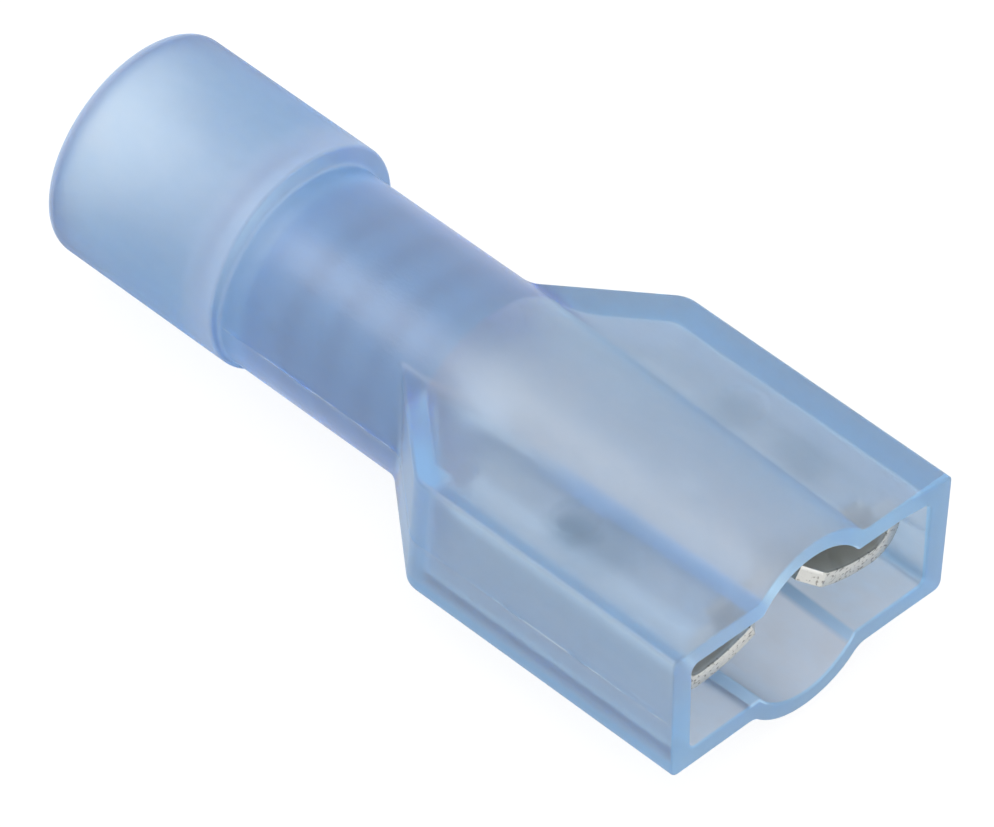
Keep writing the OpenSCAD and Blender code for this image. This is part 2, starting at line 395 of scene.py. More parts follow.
    def _bore_rings(self) -> Iterable[np.ndarray]:
        """Yields the rings of the neck's bore, the stop, the funnel and the bell's bore, back to the entry."""
        skin, edge = self.inner, self.bore_edge_r
        wall, lip = skin.ring(self.x_root), skin.circle(self.x_root, self.neck_bore_r + edge)
        for share in (0.3, 0.6, 0.85):
            yield wall + (lip - wall) * share
        for turn in quarter_turn(4):
            yield skin.circle(self.x_root - edge * (1 - math.cos(turn)), self.neck_bore_r + edge * (1 - math.sin(turn)))
        for x in np.linspace(self.x_root - edge, self.x_stop, 14)[1:]:
            yield skin.circle(x, self.neck_bore_r)
        for radius in np.linspace(self.neck_bore_r, self.throat_r, 4)[1:]:
            yield skin.circle(self.x_stop, radius)
        for share in np.linspace(0, 1, 7)[1:]:
            x = self.x_stop + (self.entry_depth - self.x_stop) * share
            yield skin.circle(x, self.throat_r + (self.funnel_r - self.throat_r) * share)
        floor = skin.circle(self.entry_depth, self.funnel_r)
        bore = skin.circle(self.entry_depth, self.bell_bore_r, self.bell_rise)
        for turn in quarter_turn(7)[1:]:
            ring = floor + (bore - floor) * math.sin(turn)
            ring[:, 0] = self.entry_depth - self.bore_end_l * (1 - math.cos(turn))
            yield ring
        for x in np.linspace(self.entry_depth - self.bore_end_l, self.entry_inner_r, 12)[1:]:
            yield skin.circle(x, self.bell_bore_r, self.bell_rise)
        for turn in quarter_turn(5)[1:]:
            radius = self.bell_bore_r + self.entry_inner_r * (1 - math.cos(turn))
            yield skin.circle(self.entry_inner_r * (1 - math.sin(turn)), radius, self.bell_rise)

    def _outside(self) -> list[np.ndarray]:
        """Returns the outer rings with the flash of the parting line on them."""
        rings = [*self._bell_rings(), *self._box_rings()]
        line = self.outer.parting_column()
        slow, fast = self.flash_waves
        for ring in rings:
            x = ring[:, 0]
            if x.min() > self.bell_l + self.step_edge_r and x.max() < self.x_mouth - self.rim_r:
                for column, phase in zip((line, len(ring) - line), self.flash_phases):
                    wave = np.sin(slow * x[column] + phase) + np.sin(fast * x[column] + 2 * phase)
                    share = self.flash_least + (1 - self.flash_least) * smooth_step(0.5 + wave)
                    height = self.flash_h * share
                    ring[column, 1] += math.copysign(height, ring[column, 1])
        return rings

    def _sink_marks(self) -> None:
        """Presses the round ejector marks into the roof."""
        for vertex in Bench.mesh().verts:
            away = math.hypot(vertex.co.x - self.x_mouth + self.mark_back, abs(vertex.co.y) - self.mark_y)
            if vertex.co.z > self.outer.half_height - 0.1:
                share = smooth_step((self.mark_r - away) / self.mark_edge + 0.5)
                vertex.co.z -= self.mark_depth * float(share)
        Bench.update()

    def _rake_mouth(self) -> None:
        """Tilts the end of the box, which stands a little out of square with the roof behind the floor."""
        skin = self.outer
        for vertex in Bench.mesh().verts:
            x, y, z = vertex.co
            share = max(1 - (self.x_mouth - x) / self.rake_l, 0.0)
            turn = self.mouth_yaw * (1 - y / skin.half_width) / 2 * (z / skin.half_height + 1) / 2
            spare = self.rake_spare * float(smooth_step((y - self.spare_y) / self.spare_w))
            vertex.co.x -= share * (self.lean * max(z - self.foot_z, 0.0) * (1 - spare) + max(turn, 0.0))
        Bench.update()

    def build(self) -> bpy.types.Object:
        """Returns the housing, extruded ring by ring from its entry edge, out to the mouth and back inside."""
        rings = [*self._outside(), *self._cavity_rings(), *self._bore_rings()]
        Bench.clear()
        bpy.ops.mesh.primitive_circle_add(vertices=len(rings[0]), radius=self.bell_r, rotation=(0, math.pi / 2, 0))
        piece = bpy.context.object
        piece.name = piece.data.name = "nylon_housing_moulding"
        bpy.ops.object.transform_apply(rotation=True)
        bpy.ops.object.mode_set(mode="EDIT")
        bpy.ops.mesh.select_mode(type="EDGE")
        bpy.ops.mesh.select_all(action="SELECT")
        for count, ring in enumerate(rings):
            if count:
                bpy.ops.mesh.extrude_edges_move()
            self._place(ring)
        first, last = len(rings[0]), len(rings[0]) * (len(rings) - 1)
        bm = Bench.mesh()
        bm.verts.index_update()
        Bench.pick(lambda e: all(v.index < first for v in e.verts) or all(v.index >= last for v in e.verts))
        bpy.ops.mesh.bridge_edge_loops()
        self._sink_marks()
        self._rake_mouth()
        bpy.ops.mesh.select_all(action="SELECT")
        bpy.ops.mesh.normals_make_consistent(inside=False)
        bpy.ops.object.mode_set(mode="OBJECT")
        bpy.ops.object.shade_smooth_by_angle(angle=math.radians(42))
        Bench.to_row(piece)
        return piece

    @staticmethod
    def _place(ring: np.ndarray) -> None:
        """Moves the selected loop of vertices onto a ring, column by column."""
        bm = Bench.mesh()
        loop = [v for v in bm.verts if v.select]
        loop.sort(key=lambda v: (math.atan2(v.co.z, v.co.y) + math.pi / 2 + 1e-4) % (2 * math.pi))
        for vertex, point in zip(loop, ring):
            vertex.co = point
        Bench.update()


@dataclass
class RolledContact:
    """The sheet-metal contact: base, curls, sprung lips, trough and crimp barrel."""

    sheet_t: float = 0.38
    base_z: float = 1.005
    base_half: float = 2.89
    curl_z: float = 0.385
    lip_r: float = 4.21
    lip_z: float = 3.975
    lip_gap: float = 1.5
    lead_in: float = 0.42
    base_set_back: float = 0.36
    x_back: float = 14.013
    x_front: float = 20.803
    barrel_r: float = 1.49
    barrel_back: float = 5.7
    barrel_front: float = 10.89
    barrel_sides: int = 72
    trough_half: int = 22
    cut_slope: float = 0.77
    seam_w: float = 0.08
    groove_depth: float = 0.07
    groove_w: float = 0.35
    groove_count: int = 3
    groove_shares: tuple[float, ...] = (-0.5, -0.36, 0.36, 0.5)
    dimple_back: float = 3.4
    dimple_r: float = 1.1
    dimple_depth: float = 0.22
    edge_r: float = 0.055
    base_steps: int = 54
    curl_steps: int = 14
    lip_steps: int = 12
    trough_steps: int = 16
    trough_bow: float = 0.55

    @property
    def groove_pitch(self) -> float:
        """Returns the distance between grip grooves along the barrel."""
        return (self.barrel_front - self.barrel_back) / (self.groove_count + 1)

    def _base(self) -> None:
        """Adds the flat base as a grid and sinks its locking dimple."""
        length, middle = self.x_front - self.x_back, (self.x_front + self.x_back) / 2
        bpy.ops.mesh.primitive_grid_add(x_subdivisions=self.base_steps, y_subdivisions=2 * self.trough_half,
                                        size=1.0, location=(middle, 0, self.base_z))
        bpy.ops.object.transform_apply(location=True)
        bpy.ops.object.mode_set(mode="EDIT")
        bpy.ops.transform.resize(value=(length, 2 * self.base_half, 1), center_override=(middle, 0, self.base_z))
        bm = Bench.mesh()
        centre_x = self.x_front - self.dimple_back
        ball_r = self.dimple_r - self.sheet_t / 2
        for vertex in bm.verts:
            away = math.hypot(vertex.co.x - centre_x, vertex.co.y)
            reach = math.sqrt(max(ball_r**2 - away**2, 0.0))
            vertex.co.z -= max(reach - (ball_r - self.dimple_depth), 0.0)
        Bench.update()

    def _roll(self, side: Side) -> None:
        """Spins one edge of the base into its curl and on into its lip."""
        highlight_edge_y = side.value * self.base_half
        Bench.pick(lambda e: all(abs(v.co.y - highlight_edge_y) < NEAR for v in e.verts))
        axis = (side.value, 0, 0)
        bpy.ops.mesh.spin(steps=self.curl_steps, angle=math.pi, center=(0, highlight_edge_y, self.curl_z), axis=axis)
        arc = math.asin((self.base_half - self.lip_gap / 2) / self.lip_r)
        bpy.ops.mesh.spin(steps=self.lip_steps, angle=arc, center=(0, highlight_edge_y, self.lip_z), axis=axis)

    def _cut_lip(self, side: Side) -> None:
        """Cuts the front corner off one lip, which leads the tab in."""
        sign = side.value
        Bench.pick(lambda f: f.calc_center_median().z < self.base_z - 0.3
                   and sign * f.calc_center_median().y > 0, "FACE")
        corner = (self.x_front - self.lead_in, sign * self.lip_gap / 2, 0)
        bpy.ops.mesh.bisect(plane_co=corner, plane_no=(1, -sign, 0), clear_outer=True, clear_inner=False)

    def _cut_base(self) -> None:
        """Cuts the base back between the curls, behind the front of the lips."""
        Bench.pick(lambda f: f.calc_center_median().z > self.base_z - 0.1
                   and abs(f.calc_center_median().y) < self.base_half - self.sheet_t, "FACE")
        bpy.ops.mesh.bisect(plane_co=(self.x_front - self.base_set_back, 0, 0), plane_no=(1, 0, 0),
                            clear_outer=True, clear_inner=False)

    def _groove_stations(self) -> list[float]:
        """Returns the stations of the rings along the barrel, which hold both edges of each grip groove."""
        pitch = self.groove_pitch
        stations = [self.barrel_back]
        for count in range(1, self.groove_count + 1):
            centre = self.barrel_back + count * pitch
            stations += [centre - pitch / 2]
            stations += [centre + share * self.groove_w for share in self.groove_shares]
        return [*stations, self.barrel_front - pitch / 2, self.barrel_front]

    def _barrel(self) -> None:
        """Adds the crimp barrel, an open ring drawn out along the axis, with its butt seam underneath."""
        bpy.ops.mesh.select_all(action="DESELECT")
        stations = self._groove_stations()
        bpy.ops.mesh.primitive_circle_add(vertices=self.barrel_sides + 1, radius=self.barrel_r,
                                          location=(stations[0], 0, 0), rotation=(0, math.pi / 2, 0))
        bm = Bench.mesh()
        ring = sorted((v for v in bm.verts if v.select), key=lambda v: math.atan2(v.co.y, v.co.z))
        opening = self.seam_w / 2 / self.barrel_r
        for vertex, turn in zip(ring, np.linspace(opening - math.pi, math.pi - opening, len(ring))):
            vertex.co = (stations[0], self.barrel_r * math.sin(turn), self.barrel_r * math.cos(turn))
        Bench.update()
        ends = {ring[0].index, ring[-1].index}
        Bench.pick(lambda e: {v.index for v in e.verts} == ends)
        bpy.ops.mesh.delete(type="EDGE")
        Bench.pick(lambda e: all(abs(v.co.x - stations[0]) < NEAR for v in e.verts))
        for start, stop in zip(stations, stations[1:]):
            bpy.ops.mesh.extrude_edges_move(TRANSFORM_OT_translate={"value": (stop - start, 0, 0)})
        for vertex in Bench.mesh().verts:
            if vertex.select:
                slope_x = self.barrel_front - self.sheet_t + self.cut_slope * (vertex.co.z + self.barrel_r)
                vertex.co.x = min(slope_x, self.barrel_front)
        Bench.update()

    def _trough(self) -> None:
        """Bridges the upper arc of the barrel's front to the back edge of the base."""
        reach = math.pi * (self.trough_half + 0.2) / (self.barrel_sides / 2)

        def wanted(edge: bmesh.types.BMEdge) -> bool:
            front = all(abs(v.co.x - self.barrel_front) < NEAR
                        and abs(math.atan2(v.co.y, v.co.z)) < reach for v in edge.verts)
            back = all(abs(v.co.x - self.x_back) < NEAR and abs(v.co.z - self.base_z) < NEAR for v in edge.verts)
            return (front or back) and edge.is_boundary

        count = Bench.pick(wanted)
        LOG.info("trough bridged over %d edges", count)
        bpy.ops.mesh.bridge_edge_loops(number_cuts=self.trough_steps, interpolation="SURFACE",
                                       smoothness=self.trough_bow)

    def _cut_grooves(self) -> None:
        """Sinks the grip grooves into the inside of the barrel, between their edge rings."""
        pitch = self.groove_pitch
        bore = self.barrel_r - self.sheet_t / 2
        bpy.ops.object.mode_set(mode="EDIT")
        for vertex in Bench.mesh().verts:
            radius = math.hypot(vertex.co.y, vertex.co.z)
            count = round((vertex.co.x - self.barrel_back) / pitch)
            off = abs(vertex.co.x - self.barrel_back - count * pitch)
            if radius < bore + 0.02 and 0 < count <= self.groove_count and off < 0.4 * self.groove_w:
                share = (bore + self.groove_depth) / radius
                vertex.co.y, vertex.co.z = vertex.co.y * share, vertex.co.z * share
        Bench.update()
        bpy.ops.object.mode_set(mode="OBJECT")

    def build(self) -> bpy.types.Object:
        """Returns the contact, rolled up from its base and joined to its barrel."""
        Bench.clear()
        self._base()
        piece = bpy.context.object
        piece.name = piece.data.name = "rolled_contact_sheet"
        for side in Side:
            self._roll(side)
        for side in Side:
            self._cut_lip(side)
        self._cut_base()
        self._barrel()
        self._trough()
        bpy.ops.mesh.select_all(action="SELECT")
        bpy.ops.mesh.normals_make_consistent(inside=False)
        bpy.ops.object.mode_set(mode="OBJECT")
        Bench.modify(piece, "SOLIDIFY", thickness=self.sheet_t, offset=0.0, use_even_offset=True)
        self._cut_grooves()
        Bench.modify(piece, "BEVEL", width=self.edge_r, segments=3, limit_method="ANGLE", angle_limit=math.radians(50))
        bpy.ops.object.shade_smooth_by_angle(angle=math.radians(35))
        Bench.to_row(piece)
        return piece


@dataclass(frozen=True)
class Grain:
    """A noise, by its features per metre along each axis and the depth of its detail."""

    scale: Triple
    detail: float


class Net:
    """Adds and joins the nodes of one node tree."""

    def __init__(self, tree: bpy.types.NodeTree) -> None:
        """Empties the tree that is given."""
        self.tree = tree
        tree.nodes.clear()

    def add(self, kind: str, inputs: dict | None = None, **settings: object) -> bpy.types.Node:
        """Returns a new node.

        Args:
            kind: the name of the shader node's type.
            inputs: values or output sockets by the name or number of the input that takes them.
            settings: values of the node's own properties.
        """
        node = self.tree.nodes.new("ShaderNode" + kind)
        for name, value in settings.items():
            setattr(node, name, value)
        for name, value in (inputs or {}).items():
            if isinstance(value, Socket):
                self.tree.links.new(value, node.inputs[name])
            else:
                node.inputs[name].default_value = value
        return node

    def math(self, operation: str, *values: object, clamp: bool = False) -> Socket:
        """Returns the outcome of a sum on numbers or sockets."""
        return self.add("Math", dict(enumerate(values)), operation=operation, use_clamp=clamp).outputs[0]

    def product(self, *values: object) -> Socket:
        """Returns the product of numbers and sockets."""
        return reduce(lambda first, second: self.math("MULTIPLY", first, second), values)

    def most(self, *values: object) -> Socket:
        """Returns the greatest of numbers and sockets."""
        return reduce(lambda first, second: self.math("MAXIMUM", first, second), values)

    def ramp(self, value: object, ramp: Ramp) -> Socket:
        """Returns a value mapped from one span to another and kept inside it."""
        names = ("Value", "From Min", "From Max", "To Min", "To Max")
        return self.add("MapRange", dict(zip(names, (value, *ramp)))).outputs[0]

    def noise(self, grain: Grain, place: Socket) -> Socket:
        """Returns a noise over a place in metres."""
        spread = self.add("Mapping", {"Vector": place, "Scale": grain.scale}).outputs[0]
        return self.add("TexNoise", {"Vector": spread, "Scale": 1.0, "Detail": grain.detail}).outputs[0]

    def mix(self, share: Socket, first: object, second: object) -> Socket:
        """Returns a blend of two colours, each one a socket or three numbers."""
        pair = [c if isinstance(c, Socket) else (*c, 1.0) for c in (first, second)]
        return self.add("Mix", {0: share, 6: pair[0], 7: pair[1]}, data_type="RGBA").outputs[2]


@dataclass(frozen=True)
class Spot:
    """The point that is shaded: its place in metres, and where it lies in millimetres about the neck's axis."""

    place: Socket
    x: Socket
    y: Socket
    z: Socket
    width: Socket
    radius: Socket

    @classmethod
    def of(cls, net: Net) -> "Spot":
        """Returns the spot of one node tree, from the object's coordinates."""
        place = net.add("TexCoord").outputs["Object"]
        scaled = net.add("VectorMath", {0: place, "Scale": 1 / MM}, operation="SCALE").outputs[0]
        x, y, height = net.add("SeparateXYZ", {0: scaled}).outputs
        z = net.math("SUBTRACT", height, AXIS_HEIGHT)
        square = net.math("ADD", net.product(y, y), net.product(z, z))
        return cls(place, x, y, z, net.math("ABSOLUTE", y), net.math("SQRT", square))


@dataclass(frozen=True)
class NylonFinish:
    """Translucent blue nylon, milky at the bell and clearer at the box, with a painted deeper blue glow at the ends of
    its walls, painted shade on its lining and on its roof, and a painted highlight along the roof's long edges.

    A ramp is a span, in millimetres or of a noise, and the values at both of its ends.
    """

    shape: NylonHousing
    colour: Triple = (0.83, 0.86, 0.98)
    # Painted shade: the lining of the spaces inside is greyer than the skin, and darker towards the cavity's floor
    lining_shade_colour: Triple = (0.86, 0.79, 0.84)
    floor_colour: Triple = (0.7, 0.62, 0.64)
    haze_colour: Triple = (0.92, 0.86, 0.92)
    mottle_colour: Triple = (0.68, 0.76, 0.92)
    # Painted glow: a deeper blue where light comes out of the ends of the walls, also laid over the creases, the sill
    # and the shoulder
    wall_end_glow_colour: Triple = (0.46, 0.72, 1.0)
    # Thread of flash, and a painted highlight on the roof's long edges
    flash_and_highlight_colour: Triple = (0.92, 0.95, 0.98)
    # Painted shade: dark patches on the roof for the shaded metal seen through it
    roof_shade_colour: Triple = (0.36, 0.46, 0.58)
    absorb: Triple = (0.25, 0.80, 0.992)
    density: float = 620.0
    shade: Triple = (0.82, 0.89, 0.97)
    ior: float = 1.53
    clearness: Ramp = (0.0, 1.0, 0.84, 0.6)
    deep_clearness: Ramp = (0.0, 0.8, 1.0, 0.25)
    bell_rough: Ramp = (5.0, 7.0, 0.23, 0.0)
    box_rough: Ramp = (10.5, 12.5, 0.31, 0.39)
    cloud_rough: Ramp = (0.3, 0.7, -0.03, 0.03)
    grain: Grain = Grain((5200, 9000, 9000), 3.0)
    grain_depth: float = 0.02
    grain_strength: Ramp = (0.0, 1.0, 0.12, 0.3)
    neck_start: Ramp = (6.0, 8.0, 0.0, 1.0)
    neck_end: Ramp = (10.5, 12.5, 1.0, 0.0)
    cloud: Grain = Grain((420, 700, 700), 4.0)
    haze: Ramp = (0.45, 0.68, 0.0, 0.35)
    mottle: Grain = Grain((1300, 2000, 2000), 5.0)
    mottle_share: Ramp = (0.4, 0.62, 0.22, 0.0)

    # Painted shade on the roof: dark patches for the shaded metal seen through it, each by its x, y, reach and strength
    roof_shade_spots: tuple[tuple[float, float, float, float], ...] = (
        (16.95, -3.0, 1.0, 0.65), (17.7, -2.8, 1.5, 0.3), (16.6, 2.4, 1.0, 0.25), (18.75, 2.55, 1.1, 0.25))
    shade_spot_core: float = 0.15
    wander: Grain = Grain((900, 900, 900), 3.0)
    wander_reach: Ramp = (0.2, 0.8, -0.3, 0.3)
    roof: Ramp = (0.86, 1.16, 0.0, 1.0)

    # Lining of the spaces inside, painted with shade: greyer than the skin, and darker still towards the floor of the
    # cavity
    floor: Ramp = (-1.04, -0.44, 1.0, 0.0)
    bore_r: Ramp = (5.3, 5.6, 2.56, 2.33)
    bore_taper: Ramp = (11.29, 21.6, 0.0, 0.28)
    cavity_x: float = 11.2
    cavity_y: Ramp = (11.29, 13.383, 2.15, 3.95)
    cavity_z: float = 1.27

    # Ends of walls, painted with a deeper blue glow where light comes out of them: rim, entry, step, creases in the
    # mouth, sill and shoulder
    rim: Ramp = (0.03, 0.07, 1.0, 0.0)
    entry: Ramp = (0.1, 0.3, 0.5, 0.0)
    step_start: Ramp = (4.3, 5.4, 0.0, 0.27)
    step_end: Ramp = (5.4, 5.6, 1.0, 0.0)
    crease_x: Ramp = (14.0, 16.0, 0.0, 1.0)
    crease_y: Ramp = (11.29, 21.6, 1.89, 1.57)
    crease_z: float = 1.15
    crease_start: Ramp = (-0.25, -0.15, 0.0, 0.8)
    crease_end: Ramp = (0.3, 0.36, 1.0, 0.0)
    crease_shift: Ramp = (-0.1, 0.1, 0.0, 0.32)
    sill_y: Ramp = (4.3, 4.4, 0.0, 1.0)
    sill_z: Ramp = (-1.33, -0.95, 1.0, 0.0)
    shoulder_y: Ramp = (11.29, 13.383, 2.7, 4.5)
    shoulder_depth: Ramp = (-0.75, -0.6, 0.0, 0.8)
    shoulder_start: Ramp = (11.4, 11.8, 0.0, 1.0)
    shoulder_end: Ramp = (13.8, 14.1, 1.0, 0.0)

    # Pale lines: thread of flash, and a painted highlight along the long edges of the roof
    thread: Ramp = (0.012, 0.03, 1.0, 0.0)
    thread_x: Ramp = (5.5, 5.6, 0.0, 1.0)
    thread_y: Ramp = (2.5, 2.6, 0.0, 1.0)
    breaks: Grain = Grain((1500, 300, 300), 2.0)
    breaks_share: Ramp = (0.46, 0.6, 0.0, 1.0)
    highlight_edge_x: Ramp = (13.6, 14.2, 0.0, 1.0)
    highlight_edge_y: Ramp = (4.4, 4.46, 0.0, 0.35)
    highlight_edge_z: Ramp = (1.56, 1.62, 0.0, 1.0)

    def _roof_shade(self, net: Net, spot: Spot) -> Socket:
        """Returns how dark the painted shade on the roof is, as shares of its colour."""
        flat = net.add("CombineXYZ", {0: spot.x, 1: spot.y}).outputs[0]
        wander = net.ramp(net.noise(self.wander, spot.place), self.wander_reach)
        total: object = 0.0
        for x, y, reach, strength in self.roof_shade_spots:
            away = net.add("VectorMath", {0: flat, 1: (x, y, 0)}, operation="DISTANCE").outputs[1]
            fade = {"Value": net.math("MULTIPLY_ADD", wander, reach, away), "From Min": self.shade_spot_core * reach,
                    "From Max": reach, "To Min": strength, "To Max": 0.0}
            shade_spot = net.add("MapRange", fade, interpolation_type="SMOOTHSTEP").outputs[0]
            total = net.most(total, shade_spot)
        return net.product(total, net.ramp(spot.z, self.roof))

    def _inside(self, net: Net, spot: Spot) -> Socket:
        """Returns 1 on the skin of the spaces inside and 0 on the outside and the rim."""
        bore = net.math("SUBTRACT", net.ramp(spot.x, self.bore_r), net.ramp(spot.x, self.bore_taper))
        cavity = net.product(net.math("LESS_THAN", spot.width, net.ramp(spot.x, self.cavity_y)),
                             net.math("LESS_THAN", net.math("ABSOLUTE", spot.z), self.cavity_z),
                             net.math("GREATER_THAN", spot.x, self.cavity_x))
        return net.most(net.math("LESS_THAN", spot.radius, bore), cavity)

    def _creases(self, net: Net, spot: Spot) -> Socket:
        """Returns the creases in the mouth, where the flats of the cavity meet its round part."""
        off = net.math("SUBTRACT", spot.width, net.ramp(spot.x, self.crease_y))
        past = net.math("ADD", off, net.ramp(spot.y, self.crease_shift))
        return net.product(net.ramp(off, self.crease_start), net.ramp(past, self.crease_end),
                           net.math("GREATER_THAN", net.math("ABSOLUTE", spot.z), self.crease_z),
                           net.ramp(spot.x, self.crease_x), self._inside(net, spot))

    def _wall_end_glow(self, net: Net, spot: Spot) -> tuple[Socket, Socket]:
        """Returns where a painted deeper blue glow stands for light coming out of the end of a wall, and which of it
        lies at the entry, a step or a crease.
        """
        back = net.product(self.shape.lean, net.math("SUBTRACT", spot.z, self.shape.foot_z))
        front = net.math("SUBTRACT", self.shape.x_mouth, back)
        rim = net.ramp(net.math("SUBTRACT", front, spot.x), self.rim)
        sill = net.product(net.ramp(spot.width, self.sill_y), net.ramp(spot.z, self.sill_z))
        depth = net.math("SUBTRACT", spot.width, net.ramp(spot.x, self.shoulder_y))
        shoulder = net.product(net.ramp(depth, self.shoulder_depth), net.ramp(spot.x, self.shoulder_start),
                               net.ramp(spot.x, self.shoulder_end), net.math("LESS_THAN", spot.y, 0.0))
        step = net.product(net.ramp(spot.x, self.step_start), net.ramp(spot.x, self.step_end))
        deep = net.most(step, net.ramp(spot.x, self.entry), self._creases(net, spot))
        return net.most(rim, sill, shoulder, deep), deep

    def _flash_and_edge_highlight(self, net: Net, spot: Spot) -> Socket:
        """Returns the pale lines: the broken thread of the parting line, and a painted highlight along the long edges
        of the roof.
        """
        off = net.math("ABSOLUTE", net.math("SUBTRACT", spot.z, self.shape.outer.parting))
        thread = net.product(net.ramp(off, self.thread), net.ramp(spot.x, self.thread_x),
                             net.ramp(spot.width, self.thread_y),
                             net.ramp(net.noise(self.breaks, spot.place), self.breaks_share))
        # Painted highlight along the roof's long edges
        edge = net.product(net.ramp(spot.x, self.highlight_edge_x), net.ramp(spot.width, self.highlight_edge_y),
                           net.ramp(spot.z, self.highlight_edge_z))
        return net.most(thread, edge)

    def _tone(self, net: Net, spot: Spot, cloud: Socket, edges: Socket, flash: Socket) -> Socket:
        """Returns the colour: skin or lining, with haze, mottling, a painted glow at the ends of walls, painted shade
        on the roof, the pale thread of flash and a painted highlight on the roof's long edges.
        """
        # Painted shade on the lining, darker towards the bottom
        lining = net.mix(net.ramp(spot.z, self.floor), self.lining_shade_colour, self.floor_colour)
        tone = net.mix(self._inside(net, spot), self.colour, lining)
        mottle = net.ramp(net.noise(self.mottle, spot.place), self.mottle_share)
        # Painted glow at the wall ends, painted shade on the roof and a painted highlight on its edges go on over haze
        # and mottling
        for share, colour in ((net.ramp(cloud, self.haze), self.haze_colour), (mottle, self.mottle_colour),
                              (edges, self.wall_end_glow_colour), (self._roof_shade(net, spot), self.roof_shade_colour),
                              (flash, self.flash_and_highlight_colour)):
            tone = net.mix(share, tone, colour)
        return tone

    def material(self) -> bpy.types.Material:
        """Returns the material."""
        material = bpy.data.materials.new("blue_nylon")
        material.use_nodes = True
        net = Net(material.node_tree)
        spot = Spot.of(net)
        neck = net.product(net.ramp(spot.x, self.neck_start), net.ramp(spot.x, self.neck_end))
        bump = net.add("Bump", {"Strength": net.ramp(neck, self.grain_strength), "Distance": self.grain_depth * MM,
                                "Height": net.noise(self.grain, spot.place)})
        cloud = net.noise(self.cloud, spot.place)
        rough = net.math("ADD", net.ramp(spot.x, self.bell_rough), net.ramp(spot.x, self.box_rough))
        (edges, deep), flash = self._wall_end_glow(net, spot), self._flash_and_edge_highlight(net, spot)
        clearness = net.product(net.ramp(net.most(edges, flash), self.clearness), net.ramp(deep, self.deep_clearness))
        shader = net.add("BsdfPrincipled", {
            "Base Color": self._tone(net, spot, cloud, edges, flash),
            "Roughness": net.math("ADD", rough, net.ramp(cloud, self.cloud_rough)),
            "Transmission Weight": clearness, "IOR": self.ior, "Normal": bump.outputs[0]})
        clear = net.add("BsdfTransparent", {"Color": (*self.shade, 1)})
        shadow = net.add("LightPath").outputs["Is Shadow Ray"]
        both = net.add("MixShader", {0: shadow, 1: shader.outputs[0], 2: clear.outputs[0]})
        volume = net.add("VolumeAbsorption", {"Color": (*self.absorb, 1), "Density": self.density})
        net.add("OutputMaterial", {"Surface": both.outputs[0], "Volume": volume.outputs[0]})
        return material


